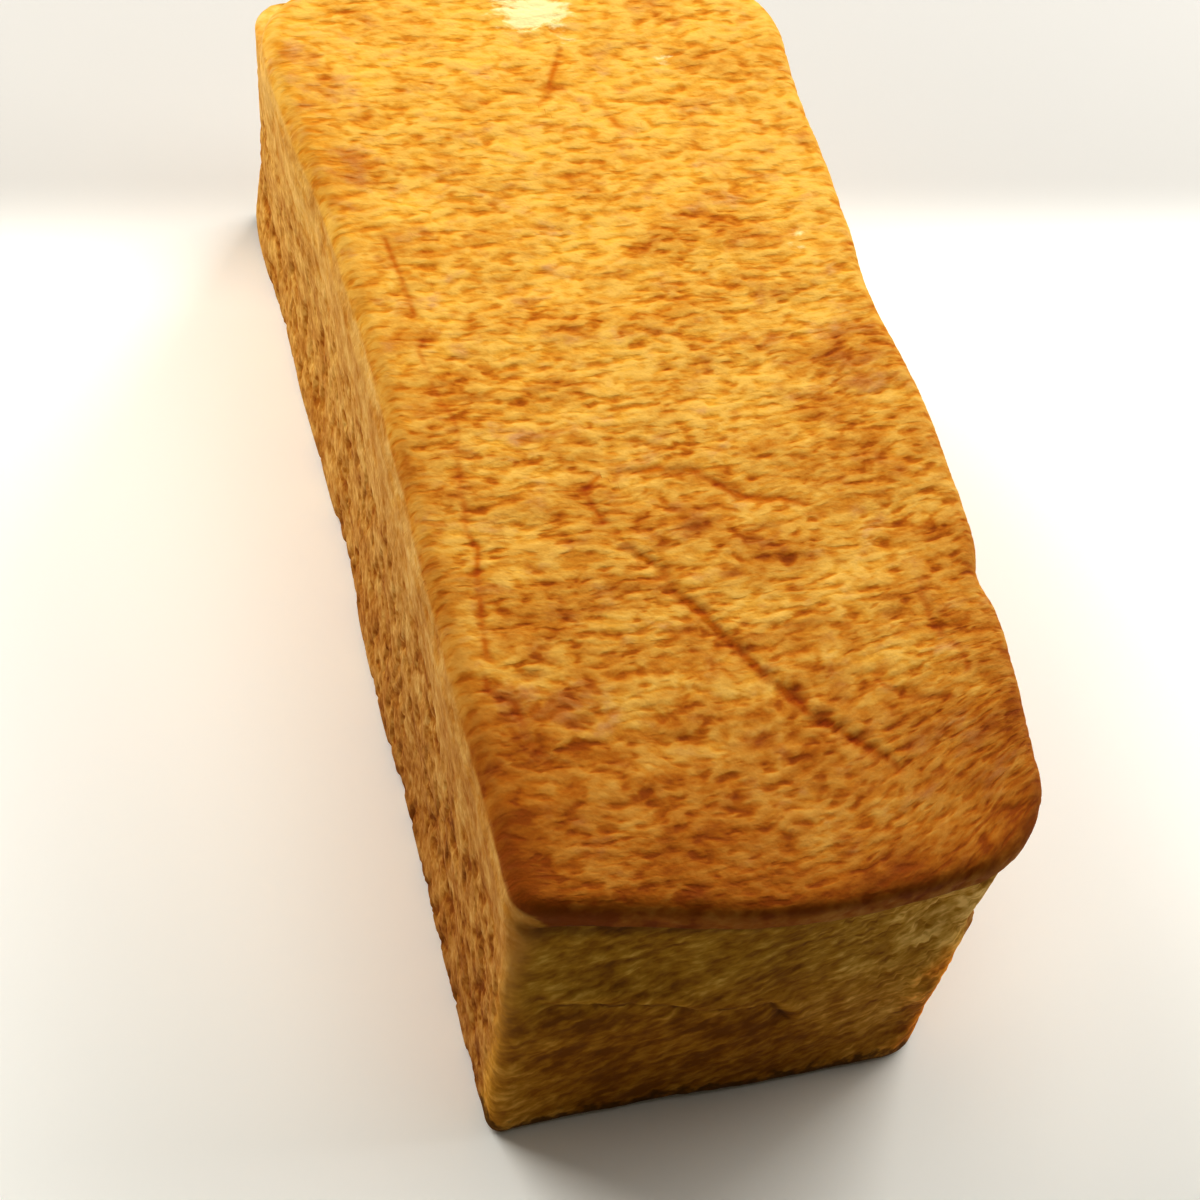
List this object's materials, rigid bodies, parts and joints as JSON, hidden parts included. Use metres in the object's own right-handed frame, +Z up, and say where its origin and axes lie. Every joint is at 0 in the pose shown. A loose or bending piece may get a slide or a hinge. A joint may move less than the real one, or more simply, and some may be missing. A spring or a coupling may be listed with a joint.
{
  "type": "tin loaf",
  "caption": "Uncut tin loaf with a flat wrinkled top, a rolled crust rim that overhangs the ends, tapering walls and a flat base.",
  "frame": {"origin": "on the flat base, below the middle of the loaf's box", "axes": "+Z up; +Y along the loaf's length, away from the near end, the one with the torn fold across it; +X across its width"},
  "size_m": [0.1308, 0.2646, 0.0915],
  "materials": {
    "crust": "matt golden-brown bread crust"
  },
  "bodies": {
    "root": {"loaf": "crust"}
  },
  "joints": []
}
